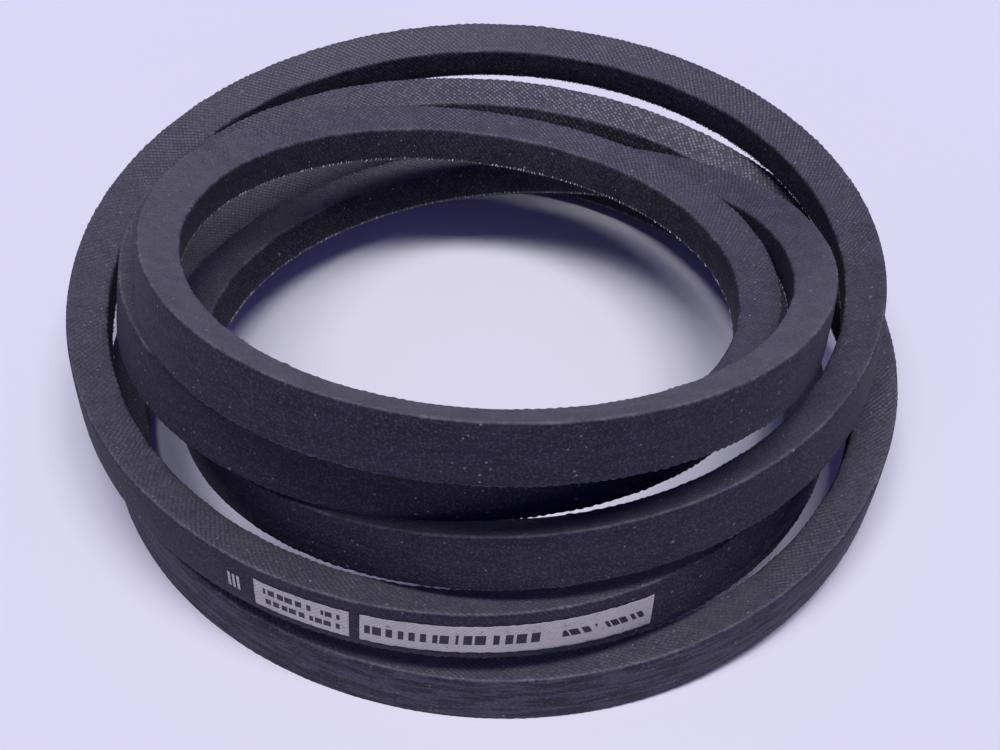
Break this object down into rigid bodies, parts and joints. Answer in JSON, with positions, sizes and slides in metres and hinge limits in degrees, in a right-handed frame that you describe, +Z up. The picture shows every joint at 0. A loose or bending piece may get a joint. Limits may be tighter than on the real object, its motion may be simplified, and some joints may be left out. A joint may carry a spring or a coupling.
{
  "type": "v belt",
  "caption": "Endless wrapped V-belt of trapezoid section, lying as a loose coil with its back outwards: fabric wrap over rubber, gum and a wound tension cord, with plain printed panels.",
  "frame": {"origin": "middle of the coil's base, on the surface it rests on", "axes": "+Z up; -Y is the side that carries the printed marks"},
  "size_m": [0.1724, 0.1752, 0.0757],
  "materials": {
    "cover_fabric": "rubberised woven cloth, matt",
    "cushion_rubber": "matt",
    "gum_rubber": "matt",
    "cord_yarn": "twisted yarn",
    "core_rubber": "matt",
    "silver_ink": "printed ink"
  },
  "bodies": {
    "root": {"fabric_cover": "cover_fabric", "top_rubber": "cushion_rubber", "upper_gum": "gum_rubber", "tension_cord": "cord_yarn", "lower_gum": "gum_rubber", "base_rubber": "core_rubber", "print_panel_long": "silver_ink", "print_panel_short": "silver_ink", "print_bar_1": "silver_ink", "print_bar_2": "silver_ink", "print_bar_3": "silver_ink"}
  },
  "joints": []
}
